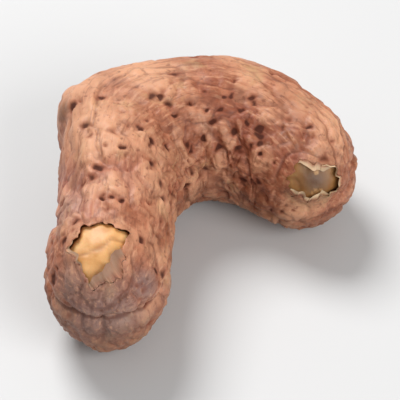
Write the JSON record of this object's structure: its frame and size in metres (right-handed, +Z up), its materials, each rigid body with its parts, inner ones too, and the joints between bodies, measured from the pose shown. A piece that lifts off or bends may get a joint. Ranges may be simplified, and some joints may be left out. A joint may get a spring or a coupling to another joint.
{
  "type": "roasted cashew nut in its skin",
  "caption": "Kidney-shaped roasted cashew nut lying on its side, a pale kernel in a pitted papery brown skin with a seam round its edge, torn at both ends.",
  "frame": {"origin": "on the floor under the middle of the nut's bounding box", "axes": "+X along the longest extent, from the big lobe towards the small lobe; +Y towards the outer side of the bend; +Z up, the nut's thickness"},
  "size_m": [0.03, 0.024, 0.0131],
  "materials": {
    "skin": "thin roasted seed skin, papery and wrinkled with a soft waxy sheen",
    "kernel": "roasted kernel, pale golden, matt with a faint oily sheen"
  },
  "bodies": {
    "root": {"skin": "skin", "kernel": "kernel"}
  },
  "joints": []
}
